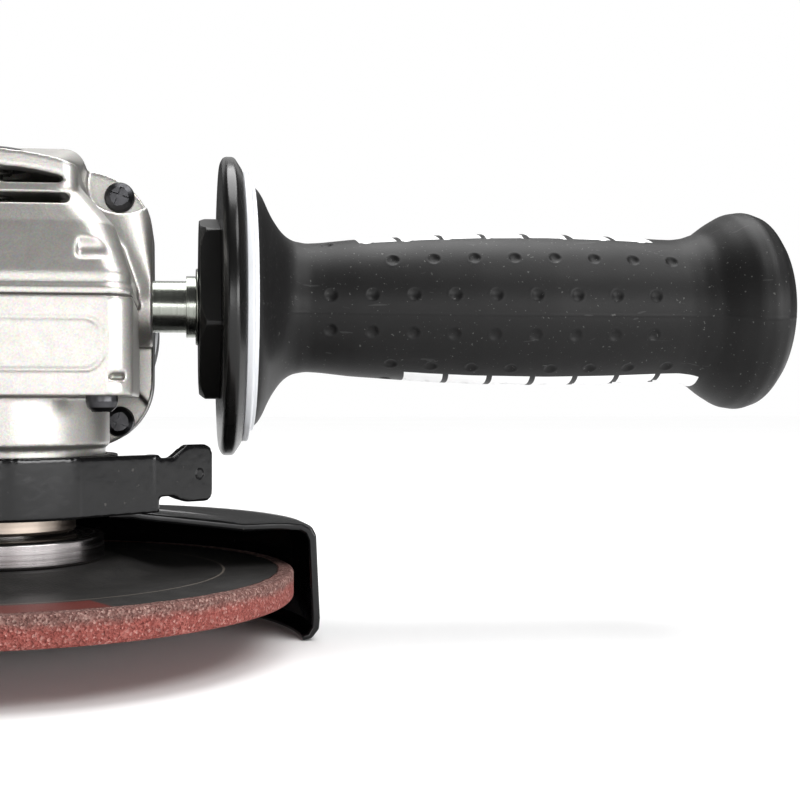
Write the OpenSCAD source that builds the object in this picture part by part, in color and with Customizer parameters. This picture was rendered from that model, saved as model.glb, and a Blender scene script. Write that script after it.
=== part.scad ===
// Angle grinder, 125 mm class, with an open rear guard, a clamp lever and a side handle.
// +X points along the side handle, +Y towards the rear of the motor, +Z up.
// The origin is the free lower end of the spindle, on the spindle axis.

/* [Wheel] */
// Diameter of the grinding wheel
wheel_d = 125; // [115:1:125]
// Thickness of the wheel at its rim
wheel_t = 6; // [4:0.5:6.5]
// Depth of the hollow under the wheel's centre
wheel_hollow = 3.4; // [2:0.2:4]
// Diameter of the wheel's bore
wheel_bore_d = 22.23; // [22.2:0.01:22.4]

/* [Head] */
// Height of the motor axis above the spindle end
axis_z = 68; // [67:0.5:70]
// Diameter of the collar that carries the guard
collar_d = 44; // [43:0.5:45]
// Width of the square flange behind the head
flange_w = 63.4; // [62:0.2:66]
// Height of the square flange behind the head
flange_h = 66; // [64:0.5:68]
// Outer diameter of the spindle's screw thread
spindle_thread_d = 14; // [13:0.1:14]

/* [Gears] */
// Teeth on the ring gear
ring_teeth = 35; // [33:1:37]
// Teeth on the drive pinion
pinion_teeth = 12; // [11:1:13]

/* [Side handle] */
// Distance of the side handle behind the spindle axis
handle_y = 20; // [19:0.5:21]
// Diameter of the handle's screw thread
handle_thread_d = 10; // [8:1:10]
// Largest diameter of the hand flange
hand_flange_d = 69; // [60:1:72]
// Distance from the spindle axis to the tip of the handle
handle_tip_x = 182; // [172:1:190]

/* [Motor] */
// Diameter of the motor barrel
barrel_d = 63; // [62:0.5:65]
// Distance from the spindle axis to the back of the motor housing
barrel_end_y = 178; // [176:1:186]
// Distance from the spindle axis to the back of the rear cover
tail_end_y = 262; // [255:1:270]
// Diameter of the cord that the gland takes
cord_d = 8; // [7:0.2:8.6]

/* [Hidden] */
$fn = 96;

// Colours
paint_silver = [0.74, 0.73, 0.71];
gloss_black = [0.05, 0.05, 0.055];
rubber_black = [0.14, 0.14, 0.145];
steel = [0.62, 0.62, 0.6];
dark_steel = [0.3, 0.29, 0.28];
zinc = [0.66, 0.68, 0.62];
damper_white = [0.92, 0.92, 0.94];
abrasive = [0.58, 0.3, 0.26];
housing_grey = [0.2, 0.25, 0.27];
copper = [0.72, 0.42, 0.22];
nylon = [0.85, 0.82, 0.74];

// Heights on the spindle axis, from the spindle end up
wheel_z = 4;
nut_z = 2.4;
hub_z = wheel_z + wheel_hollow;
hub_t = 4.8;
inner_flange_z = hub_z + hub_t;
inner_flange_top = inner_flange_z + 5.6;
dust_z = inner_flange_top + 0.6;
dust_top = 25.2;
band_z = 22.3;
band_top = 34.8;
collar_z = 22.6;
neck_z = 36.6;
box_z = 47;
box_top = 66.4;
gasket_top = 66.7;
lip_top = 68.3;
bearing_z = 29;
bearing_w = 11;
roof_z = 80;
spindle_top = 79;

// Radii on the spindle axis
wheel_r = wheel_d / 2;
wheel_bore_r = wheel_bore_d / 2;
thread_r = spindle_thread_d / 2;
inner_flange_r = 21.7;
collar_r = collar_d / 2;
fit = 0.1;
band_r = collar_r + 2.7;
neck_r = 22.9;
chamber_r = 22.6;
journal_r = 5;

// Bearing box and gear housing outline
box_half = 28.8;
box_front = -29;
box_back = 22.8;
flange_y = 34;
pocket_y = 30;
nose_half = 17.6;
nose_front = -22;
nose_top = 95.9;
nose_arch_r = 56;
roof_half = 16.4;
roof_top = 104.2;
scoop = [24.4, 98];
scoop_r = 8.6;
front_screws = [22.5, -21.5];
back_screws = [19.4, 19.2];
housing_screws = [23.7, 26.7];

// Bevel gears that share one apex, where the motor axis crosses the spindle axis
ring_r = 20;
pinion_r = ring_r * pinion_teeth / ring_teeth;
cone = atan(pinion_r / ring_r);
tooth_pitch = 2 * PI * ring_r / ring_teeth;
addendum = 0.85;
dedendum = 1.1;
inner_end = 0.69;
tooth_share = 0.4;
flank = tan(20);
half_tip = tooth_pitch * tooth_share / 2 - addendum * flank;
half_root = tooth_pitch * tooth_share / 2 + dedendum * flank;
lock_holes = 12;
lock_r = 10;
lock_pin_r = 1.7;

gear_face_z = 59;

// Side handle, measured along X
thread_start = 23.2;
boss_face = 31.8;
hub_x = 42.4;
hub_end = 47;
hand_flange_end = 52.1;
grip_x = 54.8;
hex_circum_r = 22.5;
hub_rim_r = 22.2;

// Motor, measured along Y
shaft_r = 5;
pinion_shaft_r = 3;
front_bearing_y = 24;
fan_y = 38;
core_y = 60;
core_l = 42;
core_r = 21;
stator_r = 28.6;
commutator_y = 111;
rear_bearing_y = 132;
knob_y = 116;
rod_top = axis_z + 22;

// Guard clamp
lever_pin_angle = -100;
lever_pin_r = 28.6;
lever_pin = lever_pin_r * [cos(lever_pin_angle), sin(lever_pin_angle)];
lever_in = band_r + 0.4;
lever_out = lever_in + 2.2;
lever_bend = -48;
lever_arm = 20;

// ---------- shared shapes ----------

// Children drawn along +Z are laid along +Y on the motor axis
module on_motor() {
    translate([0, 0, axis_z]) rotate([-90, 0, 0]) children();
}

// Children drawn along +Z are laid along +X on the handle axis
module on_handle() {
    translate([0, handle_y, axis_z]) rotate([0, 90, 0]) children();
}

module disc(r, z0, z1) {
    translate([0, 0, z0]) cylinder(r = r, h = z1 - z0);
}

module tube(ro, ri, z0, z1) {
    difference() {
        disc(ro, z0, z1);
        disc(ri, z0 - 1, z1 + 1);
    }
}

// Rectangle with round corners, centred
module round_rect(w, h, r) {
    square([w - 2 * r, h], center = true);
    square([w, h - 2 * r], center = true);
    for (x = [-1, 1], y = [-1, 1])
        translate([x * (w / 2 - r), y * (h / 2 - r)]) circle(r);
}

// Upright slab with round corners between two Y limits
module slab(half, y0, y1, z0, z1, r) {
    translate([0, (y0 + y1) / 2, z0])
        linear_extrude(z1 - z0) round_rect(2 * half, y1 - y0, r);
}

// Block between two corners
module block(a, b) {
    translate(a) cube(b - a);
}

module four(p) {
    for (x = [-1, 1], y = [-1, 1]) translate([x * p[0], y * p[1], 0]) children();
}

// Pan-head screw along +Z with its head below z = 0
module pan_screw(head_r, head_h, shank_r, shank_l) {
    difference() {
        union() {
            rotate_extrude()
                polygon([[0, -head_h], [head_r * 0.6, -head_h], [head_r * 0.9, -head_h * 0.72],
                         [head_r, -head_h * 0.35], [head_r, 0], [0, 0]]);
            disc(shank_r, -0.5, shank_l);
        }
        for (a = [0, 90])
            rotate([0, 0, a + 20])
                translate([-head_r * 0.64, -head_r * 0.15, -head_h - 0.01])
                    cube([head_r * 1.28, head_r * 0.3, head_h * 0.55]);
    }
}

// Deep-groove race: the outer ring or the inner ring
module race(ro, ri, w, ball_r, ball_pitch) {
    difference() {
        tube(ro, ri, 0, w);
        translate([0, 0, w / 2])
            rotate_extrude() translate([ball_pitch, 0]) circle(ball_r + 0.08);
    }
}

module balls(n, ball_r, ball_pitch, w) {
    for (i = [0 : n - 1])
        rotate([0, 0, i * 360 / n]) translate([ball_pitch, 0, w / 2]) sphere(ball_r, $fn = 32);
}

// ---------- bevel gears ----------

// Angle and profile step (0 root, 1 tip) at each corner of the tooth outline
function outline(teeth, r, phase) = [
    for (i = [0 : teeth - 1], s = [[-half_root, 0], [-half_tip, 1], [half_tip, 1], [half_root, 0]])
        [phase + i * 360 / teeth + s[0] / r * 180 / PI, s[1]]
];

// Quadrilateral sections swept round the axis make one closed toothed ring
function section_faces(n) = [
    for (i = [0 : n - 1], j = [0 : 3]) [
        4 * i + j, 4 * ((i + 1) % n) + j,
        4 * ((i + 1) % n) + (j + 1) % 4, 4 * i + (j + 1) % 4
    ]
];

// Point on the tooth surface at the large end, as [radius, height over the apex]
function ring_point(tip) =
    [ring_r + sin(cone) * (tip ? addendum : -dedendum),
     -pinion_r + cos(cone) * (tip ? addendum : -dedendum)];

function pinion_point(tip) =
    [pinion_r + cos(cone) * (tip ? addendum : -dedendum),
     ring_r - sin(cone) * (tip ? addendum : -dedendum)];

function polar(r, a, z) = [r * cos(a), r * sin(a), z];

module toothed_ring() {
    marks = outline(ring_teeth, ring_r, 90);
    points = [
        for (m = marks)
            let (p = ring_point(m[1] == 1))
                for (q = [p, [20.8, -13], [12.4, -13], inner_end * p]) polar(q[0], m[0], q[1])
    ];
    translate([0, 0, axis_z]) polyhedron(points, section_faces(len(marks)), convexity = 10);
}

module toothed_cone() {
    marks = outline(pinion_teeth, pinion_r, 180 / pinion_teeth + 90);
    points = [
        for (m = marks)
            let (p = pinion_point(m[1] == 1))
                for (q = [p, inner_end * p, [3.5, 14.2], [4.2, 22]]) polar(q[0], m[0], q[1])
    ];
    on_motor() polyhedron(points, section_faces(len(marks)), convexity = 10);
}

// ---------- head ----------

// Front block of the gear housing: a lip, a skirt that narrows upwards and an arched vent nose
module head_block() {
    slab(box_half, box_front, pocket_y, gasket_top, lip_top, 5.5);
    hull() {
        slab(box_half - 0.5, box_front + 0.5, pocket_y, lip_top - 0.5, 71, 5.5, $fn = 32);
        slab(25, -26, pocket_y, 80, 81, 7, $fn = 32);
        slab(17, -21, pocket_y, 90, 90.5, 7, $fn = 32);
    }
    intersection() {
        slab(nose_half, nose_front, pocket_y, lip_top, 100, 3.5);
        on_nose_arch(nose_top);
    }
}

// Wide roof curve with its crown at height z
module on_nose_arch(z) {
    translate([0, -60, z - nose_arch_r]) rotate([-90, 0, 0]) cylinder(r = nose_arch_r, h = 120, $fn = 200);
}

module gear_housing() {
    color(paint_silver)
    difference() {
        union() {
            head_block();
            // widening towards the flange, with the side bosses
            hull() {
                translate([0, 0, axis_z])
                    rotate([-90, 0, 0])
                        translate([0, 0, box_back + 0.2])
                            linear_extrude(7) round_rect(flange_w, flange_h, 16, $fn = 48);
                on_handle() disc(9.4, -boss_face, boss_face);
            }
            on_motor() translate([0, 0, pocket_y - 0.2])
                linear_extrude(flange_y - pocket_y + 0.2) round_rect(flange_w, flange_h, 16);
            on_handle() disc(9.4, -boss_face, boss_face);
            // raised roof over the air duct
            hull() {
                on_motor() translate([0, -roof_top + 5 + axis_z, 20])
                    linear_extrude(flange_y - 20) round_rect(2 * roof_half, 10, 4.8, $fn = 48);
                slab(13, -4, 20, 92, 97.6, 4, $fn = 24);
            }
        }
        // scoops that let the flange screws in, open at the top
        for (x = [-1, 1]) {
            translate([x * scoop[0], 0, scoop[1]]) rotate([-90, 0, 0]) disc(scoop_r, -40, pocket_y);
            translate([x * (nose_half + 12.3), 0, scoop[1] + 10])
                cube([24, 2 * pocket_y, 20], center = true);
        }
        for (x = [-1, 1])
            translate([x * housing_screws[0], 0, axis_z - housing_screws[1]])
                rotate([-90, 0, 0]) disc(8, 10, pocket_y);
        for (x = [-1, 1], z = [-1, 1])
            translate([x * housing_screws[0], 0, axis_z + z * housing_screws[1]])
                rotate([-90, 0, 0]) disc(2.25, 0, flange_y + 1);
        // seat of the bearing box and its screws
        block([-box_half - 6, box_front - 2, box_z - 20], [box_half + 6, handle_y - 9.6, gasket_top]);
        block([-22.6, handle_y - 10, box_z - 20], [22.6, box_back + 0.2, gasket_top]);
        block([-box_half - 6, handle_y - 10, box_z - 20], [box_half + 6, box_back + 0.2, axis_z - 9.6]);
        difference() {
            block([-box_half - 6, handle_y - 10, box_z - 9], [box_half + 6, box_back + 0.2, gasket_top]);
            on_handle() disc(9.4, -boss_face - 9, boss_face + 9);
        }
        for (x = [-1, 1]) {
            translate([x * front_screws[0], front_screws[1], 0]) disc(1.95, 40, 76);
            translate([x * back_screws[0], back_screws[1], 0]) disc(1.95, 40, 76);
        }
        // gear chamber and the needle bearing's seat
        difference() {
            disc(chamber_r, gasket_top - 1, roof_z);
            disc(9.8, 71.8, roof_z + 1);
        }
        disc(7.5, 60, 79.6);
        // front bearing seat, with a lip towards the gears
        on_motor() disc(11, 10, flange_y + 1);
        on_motor() disc(13, front_bearing_y, flange_y + 1);
        // air duct from the fan to the front slots
        block([-13.5, -17, 83.5], [13.5, flange_y + 1, 92.6]);
        vent_slots();
        // lock button pocket and pin hole
        translate([0, -lock_r, 0]) {
            disc(7.4, 92.5, 110);
            disc(4.4, 84.5, 110);
            disc(lock_pin_r + 0.1, 70, 110);
        }
        // side handle threads
        on_handle() disc(handle_thread_d / 2 + 0.05, thread_start, boss_face + 1);
        on_handle() disc(handle_thread_d / 2 + 0.05, -boss_face - 1, -thread_start);
        // shallow oval recess beside the nose
        translate([18, -29.2, 76.2]) rotate([0, 90, 0]) disc(3, 0, 6.5);
    }
}

// Two openings across the nose
module vent_slots() {
    intersection() {
        translate([0, -14, 91]) rotate([90, 0, 0]) linear_extrude(20) round_rect(30.2, 3.4, 1.2);
        on_nose_arch(92.5);
    }
    block([-16, -34, 85], [16, -14, 87.1]);
}

module bearing_box() {
    color(paint_silver)
    difference() {
        union() {
            slab(box_half, box_front, box_back, box_z, box_top, 5.5);
            disc(neck_r, neck_z, box_z + 1);
            disc(collar_r, collar_z, neck_z + 1);
        }
        disc(chamber_r, 50.5, box_top + 1);
        disc(19.5, bearing_z + bearing_w, 51);
        disc(17.5, bearing_z, 51);
        disc(12, 20, 51);
        disc(16.2, 20, 25.6);
        for (x = [-1, 1]) {
            translate([x * front_screws[0], front_screws[1], 0]) disc(2.2, 40, 70);
            translate([x * back_screws[0], back_screws[1], 0]) disc(2.2, 40, 70);
        }
        // room for the pinion and for the side bosses
        on_motor() disc(8.6, 15, 30);
        on_handle() disc(9.6, 22.6, 60);
        on_handle() disc(9.6, -60, -22.6);
        // small drain slot and raised front panel line
        block([24.3, box_front - 1, 50], [27.3, box_front + 3, 51.3]);
        translate([0, box_front, 57]) rotate([90, 0, 0])
            difference() {
                linear_extrude(1, center = true) round_rect(47, 10.6, 4);
                linear_extrude(2, center = true) round_rect(45.8, 9.4, 3.4);
            }
    }
}

module housing_gasket() {
    color(dark_steel)
    difference() {
        slab(box_half - 0.2, box_front + 0.2, box_back, box_top, gasket_top, 5.3);
        disc(chamber_r, 60, 70);
        for (x = [-1, 1]) {
            translate([x * front_screws[0], front_screws[1], 0]) disc(2.3, 60, 70);
            translate([x * back_screws[0], back_screws[1], 0]) disc(2.3, 60, 70);
        }
        on_motor() disc(8.6, 15, 30);
        on_handle() disc(9.6, 22.6, 60);
        on_handle() disc(9.6, -60, -22.6);
    }
}

module bearing_box_screws() {
    color(gloss_black)
    for (x = [-1, 1]) {
        translate([x * front_screws[0], front_screws[1], box_z]) pan_screw(3.2, 3.2, 1.95, 28);
        translate([x * back_screws[0], back_screws[1], box_z]) pan_screw(3.2, 3.2, 1.95, 28);
    }
}

module gear_housing_screws() {
    color(gloss_black)
    on_motor() four(housing_screws) translate([0, 0, pocket_y]) pan_screw(3.6, 2.8, 2.15, 22);
}

module lock_button() {
    color(gloss_black)
    translate([0, -lock_r, 0])
        rotate_extrude()
            polygon([[lock_pin_r, 93.9], [7, 93.9], [7, 96.8], [6.6, 97.3],
                     [4.5, 97.5], [0, 97.3], [0, 95.6], [lock_pin_r, 95.6]]);
}

module lock_pin() {
    color(steel)
    translate([0, -lock_r, 0])
        disc(lock_pin_r, gear_face_z + 1, 95.6);
}

module lock_spring() {
    color(steel)
    translate([0, -lock_r, 0])
        for (i = [0 : 5])
            translate([0, 0, 85.4 + i * 1.6])
                rotate_extrude() translate([3.3, 0]) circle(0.35, $fn = 16);
}

// ---------- spindle group ----------

module spindle() {
    color(steel)
    rotate_extrude()
        polygon([[0, 0], [thread_r, 0], [thread_r, nut_z], [thread_r - 0.3, nut_z + 0.2],
                 [thread_r - 0.3, nut_z + 0.6], [thread_r, nut_z + 0.8],
                 [thread_r, inner_flange_top], [9, inner_flange_top], [9, bearing_z], [7.5, bearing_z], [7.5, 63],
                 [journal_r, 63.5], [journal_r, spindle_top - 0.6], [journal_r - 0.6, spindle_top],
                 [0, spindle_top]]);
}

module ring_gear() {
    color(dark_steel)
    difference() {
        union() {
            toothed_ring();
            disc(13.2, 52, gear_face_z);
            disc(10.5, bearing_z + bearing_w + 0.2, 53);
        }
        disc(7.5, 30, 70);
        for (i = [0 : lock_holes - 1])
            rotate([0, 0, i * 360 / lock_holes])
                translate([lock_r, 0, 0]) disc(lock_pin_r + 0.4, 54.5, 70);
    }
}

module spindle_bearing_outer() {
    color(steel) translate([0, 0, bearing_z]) race(17.5, 14.2, bearing_w, 3, 12.5);
}

module spindle_bearing_inner() {
    color(steel) translate([0, 0, bearing_z]) race(10.8, 7.5, bearing_w, 3, 12.5);
}

module spindle_bearing_balls() {
    color(steel) translate([0, 0, bearing_z]) balls(8, 3, 12.5, bearing_w);
}

module bearing_retainer() {
    color(dark_steel)
    difference() {
        tube(19.5, 14.5, bearing_z + bearing_w, bearing_z + bearing_w + 3.5);
        for (a = [0 : 90 : 270])
            rotate([0, 0, a]) translate([17, 0, 0]) disc(1.2, 40, 50);
    }
}

module needle_bearing() {
    color(steel)
    translate([0, 0, 72.2])
    difference() {
        tube(7.5, journal_r + 0.05, 0, 7.3);
        translate([0, 0, 3.2]) tube(6.9, 6.1, -1.6, 1.6);
    }
}

module dust_ring() {
    color([0.66, 0.59, 0.5])
    rotate_extrude()
        polygon([[9, dust_z], [15.2, dust_z], [15.7, dust_z + 0.5], [15.7, dust_top - 0.4],
                 [15.3, dust_top], [9, dust_top]]);
}

module inner_flange() {
    color(dark_steel)
    rotate_extrude()
        polygon([[thread_r, hub_z + 1.6], [wheel_bore_r - 0.1, hub_z + 1.6],
                 [wheel_bore_r - 0.1, inner_flange_z], [15, inner_flange_z + 0.4],
                 [15, inner_flange_z], [inner_flange_r - 0.5, inner_flange_z],
                 [inner_flange_r, inner_flange_z + 0.5],
                 [inner_flange_r, inner_flange_top - 0.5], [inner_flange_r - 0.5, inner_flange_top],
                 [thread_r, inner_flange_top]]);
}

module grinding_wheel() {
    color(abrasive)
    rotate_extrude()
        polygon([[wheel_bore_r, hub_z], [22.5, hub_z], [29, wheel_z], [wheel_r - 0.6, wheel_z],
                 [wheel_r, wheel_z + 0.6], [wheel_r, wheel_z + wheel_t - 0.4],
                 [wheel_r - 0.5, wheel_z + wheel_t], [37, wheel_z + wheel_t - 0.5],
                 [33, wheel_z + wheel_t - 0.2], [25.5, hub_z + hub_t], [wheel_bore_r, hub_z + hub_t]]);
}

module lock_nut() {
    color(dark_steel)
    difference() {
        rotate_extrude()
            polygon([[thread_r, nut_z], [15.5, nut_z], [16, nut_z + 0.5], [19.2, nut_z + 1.8],
                     [20.2, nut_z + 2.8], [20.2, hub_z], [wheel_bore_r - 0.1, hub_z],
                     [wheel_bore_r - 0.1, hub_z + 1.2], [thread_r, hub_z + 1.2]]);
        for (a = [45 : 90 : 315])
            rotate([0, 0, a]) translate([13.5, 0, 0]) disc(2.4, 0, nut_z + 2.6);
    }
}

// ---------- guard ----------

module guard_shell() {
    color(gloss_black)
    rotate_extrude(angle = 180)
        polygon([[22.6, band_z], [28, band_z], [31, 21.9], [52, 19.4], [60, 19.7],
                 [64.8, 19.4], [66.8, 18.5], [67.8, 16.6], [68.6, -1.6], [68.4, -4],
                 [66.8, -6], [64.8, -6.5], [64.5, -5.3], [65.8, -4.9], [66.7, -3.4],
                 [66.8, -1.6], [66, 15.4], [65.3, 17], [64, 17.7], [60, 17.9],
                 [52, 17.6], [30.8, 20.1], [27.6, 20.6], [22.6, 20.6]]);
}

// Arc of constant section round the spindle axis
module arc(ro, ri, z0, z1, a0, a1) {
    rotate([0, 0, a0])
        rotate_extrude(angle = a1 - a0)
            translate([ri, z0]) square([ro - ri, z1 - z0]);
}

module clamp_band() {
    color(gloss_black)
    difference() {
        union() {
            arc(band_r, collar_r + fit, band_z, band_top, -104.5, 243);
            // fork for the lever pin
            for (z = [band_z + 0.3, band_top - 2.6])
                translate([0, 0, z]) rotate([0, 0, lever_pin_angle])
                    linear_extrude(2.3) {
                        translate([lever_pin_r, 0]) circle(3.2);
                        translate([23.2, -2.9]) square([lever_pin_r - 23.2, 5.8]);
                    }
            // ear for the tension screw
            rotate([0, 0, -119]) block([23, -1.6, band_z + 1.5], [32.4, 1.6, band_top - 1.5]);
        }
        translate([lever_pin[0], lever_pin[1], 0]) disc(1.5, 20, 40);
        rotate([0, 0, -119]) translate([28.9, 0, 28.5]) rotate([90, 0, 0]) disc(2.2, -5, 5);
    }
}

module clamp_lever() {
    color(gloss_black)
    difference() {
        union() {
            translate([lever_pin[0], lever_pin[1], 0]) disc(3, band_z + 2.9, band_top - 2.9);
            arc(lever_out - 0.15, lever_in + 0.15, band_z + 3.1, band_top - 3.1, -98, -91);
            arc(lever_out, lever_in, band_z, band_top, -92, lever_bend);
            // straight arm, neck and paddle
            rotate([0, 0, lever_bend]) {
                block([lever_in + 0.15, -1, band_z + 0.1], [lever_out - 0.15, lever_arm, band_top - 0.1]);
                translate([lever_out - 1.6, lever_arm, band_z]) disc(1.6, 0.1, band_top - band_z - 0.1);
                translate([lever_in, lever_arm, 0]) rotate([90, 0, 90]) linear_extrude(2.2)
                    polygon([[-0.5, 25.7], [4.4, 25.7], [6.6, 24.9], [9.2, 24.2], [14.6, 24.1],
                             [15.9, 24.9], [16.3, 26.4], [16.3, 34.6], [15.6, 36], [14.3, 36.6],
                             [9, 36.6], [7.2, 35.6], [4.4, 33.9], [-0.5, 33.9]]);
            }
        }
        translate([lever_pin[0], lever_pin[1], 0]) disc(1.55, 20, 40);
    }
}

module lever_pin() {
    color(steel)
    translate([lever_pin[0], lever_pin[1], 0]) disc(1.5, band_z - 0.6, band_top + 0.6);
}

module clamp_screw() {
    color(steel)
    rotate([0, 0, -119]) translate([28.9, 0, 28.5]) rotate([90, 0, 0]) {
        disc(2.2, -4, 5);
        translate([0, 0, 1.6]) cylinder(r = 4, h = 3, $fn = 6);
        disc(3.6, -4.2, -1.6);
    }
}

// ---------- side handle ----------

module handle_shank() {
    color(zinc)
    on_handle() {
        disc(handle_thread_d / 2, thread_start + 0.3, boss_face + 0.5);
        disc(6, boss_face, 39.6);
        disc(7.15, 39.5, 41.6);
        disc(6, 41.5, 60);
        disc(4, 60, 120);
    }
}

module handle_washer() {
    color(zinc) on_handle() tube(8.9, 6.05, 41.7, 42.3);
}

module handle_hub() {
    color(gloss_black)
    on_handle()
    difference() {
        intersection() {
            translate([0, 0, hub_x]) rotate([0, 0, -136.8])
                cylinder(r = hex_circum_r, h = hub_end - hub_x, $fn = 6);
            rotate_extrude()
                polygon([[0, hub_x], [20.3, hub_x], [hub_rim_r, hub_x + 1.3],
                         [hub_rim_r, hub_end], [0, hub_end]]);
        }
        disc(6, 40, 50);
    }
}

module handle_flange() {
    color(gloss_black)
    on_handle()
    rotate_extrude()
        polygon([[6, hub_end], [hand_flange_d / 2 - 1.6, hub_end],
                 [hand_flange_d / 2 - 0.5, hub_end + 0.5], [hand_flange_d / 2, hub_end + 1.6],
                 [hand_flange_d / 2, hub_end + 2.4], [hand_flange_d / 2 - 0.5, hub_end + 3.4],
                 [31.8, hand_flange_end], [6, hand_flange_end]]);
}

module damper_ring() {
    color(damper_white)
    on_handle()
    rotate_extrude()
        polygon([[6, hand_flange_end], [31.2, hand_flange_end], [31.2, hand_flange_end + 1.5],
                 [28.9, hand_flange_end + 1.9], [28.6, grip_x], [6, grip_x]]);
}

function grip_profile() = [
    [28.1, grip_x], [26.5, 56.6], [22.4, 58.2], [19.1, 60.1], [16.9, 61.8], [15.6, 63.6],
    [15, 67.1], [15.3, 70.6], [16, 77.6], [17.2, 95.2], [17.7, 105.7], [18, 119.7],
    [18, 126.8], [17.7, 137.3], [17.2, 151.3], [17, 154.8], [17.4, 158.3], [18.5, 161.8],
    [21.1, 165.3], [23.4, 168.9], [23.8, 172.4], [22.8, 175.9], [18.3, 179.4],
    [10, 181.5], [0, handle_tip_x]
];

module handle_grip() {
    color(rubber_black)
    on_handle()
    rotate_extrude()
        polygon(concat([[0, 172], [12.5, 172], [12.5, 66], [9, 58], [9, grip_x]], grip_profile()));
}

module handle_core() {
    color(gloss_black)
    on_handle()
    difference() {
        union() {
            disc(12.5, 66, 172);
            translate([0, 0, 58]) cylinder(r1 = 9, r2 = 12.5, h = 8);
            disc(9, grip_x, 58);
        }
        disc(4, 50, 120);
        disc(6, 50, 60);
    }
}

// ---------- motor ----------

module armature_shaft() {
    color(steel)
    on_motor() {
        disc(pinion_shaft_r, 11.3, 24);
        disc(shaft_r, 24, 131);
        disc(3.5, 131, 141);
    }
}

module armature_core() {
    color(dark_steel)
    on_motor()
    difference() {
        tube(core_r, shaft_r, core_y, core_y + core_l);
        for (i = [0 : 11])
            rotate([0, 0, i * 30 + 15]) translate([core_r - 0.8, 0, 0])
                translate([0, 0, core_y - 1]) cylinder(r = 1.2, h = core_l + 2, $fn = 24);
    }
}

module armature_windings() {
    color(copper)
    on_motor() {
        rotate_extrude()
            polygon([[shaft_r, core_y - 7], [13, core_y - 8], [18, core_y - 6],
                     [18.5, core_y], [shaft_r, core_y]]);
        rotate_extrude()
            polygon([[shaft_r, core_y + core_l], [18.5, core_y + core_l], [18, core_y + core_l + 5],
                     [13, core_y + core_l + 8], [shaft_r, core_y + core_l + 8]]);
    }
}

module commutator() {
    color(copper)
    on_motor()
    difference() {
        tube(11.5, shaft_r, commutator_y, commutator_y + 16);
        for (i = [0 : 11])
            rotate([0, 0, i * 30]) translate([10.9, -0.25, commutator_y - 1]) cube([2, 0.5, 18]);
    }
}

module cooling_fan() {
    color(nylon)
    on_motor() {
        tube(8, shaft_r, fan_y, fan_y + 11);
        tube(25.5, 7.5, fan_y + 9, fan_y + 11);
        for (i = [0 : 12])
            rotate([0, 0, i * 360 / 13]) translate([12, -0.8, fan_y + 1]) cube([13, 1.6, 8.5]);
    }
}

module drive_pinion() {
    color(dark_steel)
    difference() {
        union() {
            toothed_cone();
            on_motor() disc(4, 14, 24);
            on_motor() disc(5.6, 20.6, 24);
        }
        on_motor() disc(pinion_shaft_r, 10, 30);
    }
}

module pinion_nut() {
    color(steel)
    on_motor()
    difference() {
        translate([0, 0, 11.4]) cylinder(r = 4.6, h = 2.4, $fn = 6);
        disc(pinion_shaft_r, 10, 20);
    }
}

module front_bearing() {
    color(steel)
    on_motor() translate([0, 0, front_bearing_y]) {
        race(13, 10.6, 8, 2.2, 9.3);
        race(8, shaft_r + 0.05, 8, 2.2, 9.3);
        balls(8, 2.28, 9.3, 8);
    }
}

module rear_bearing() {
    color(steel)
    on_motor() translate([0, 0, rear_bearing_y]) {
        race(11, 8.8, 7, 1.9, 7.4);
        race(6, 3.55, 7, 1.9, 7.4);
        balls(7, 1.98, 7.4, 7);
    }
}

module bearing_boot() {
    color(rubber_black)
    on_motor()
    difference() {
        disc(13, rear_bearing_y - 0.5, rear_bearing_y + 10);
        disc(11, rear_bearing_y - 1, rear_bearing_y + 7);
        disc(4.2, rear_bearing_y, rear_bearing_y + 9);
    }
}

module stator_core() {
    color(dark_steel)
    on_motor()
    difference() {
        disc(stator_r, core_y, core_y + core_l);
        disc(21.6, core_y - 1, core_y + core_l + 1);
        for (x = [-1, 1])
            translate([0, 0, core_y - 1])
                linear_extrude(core_l + 2) translate([x * 22.5, 0]) square([5, 22], center = true);
        for (y = [-1, 1]) translate([0, y * 25.4, 0]) disc(2.1, core_y - 1, core_y + core_l + 1);
    }
}

module field_coils() {
    color(copper)
    on_motor()
    for (x = [-1, 1])
        difference() {
            translate([x * 22.4, 0, core_y - 6])
                linear_extrude(core_l + 12) square([4.4, 21], center = true);
            disc(21.6, core_y - 8, core_y + core_l + 8);
        }
}

module stator_screws() {
    color(steel)
    on_motor()
    for (y = [-1, 1]) translate([0, y * 25.4, core_y + core_l]) rotate([180, 0, 0])
        pan_screw(3.2, 2.2, 1.95, core_l + 7);
}

module baffle_plate() {
    color(gloss_black)
    on_motor()
    difference() {
        tube(28.9, 22.4, 52.4, 54);
        for (y = [-1, 1]) translate([0, y * 25.4, 0]) disc(3.2, 50, 58);
    }
}

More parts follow.
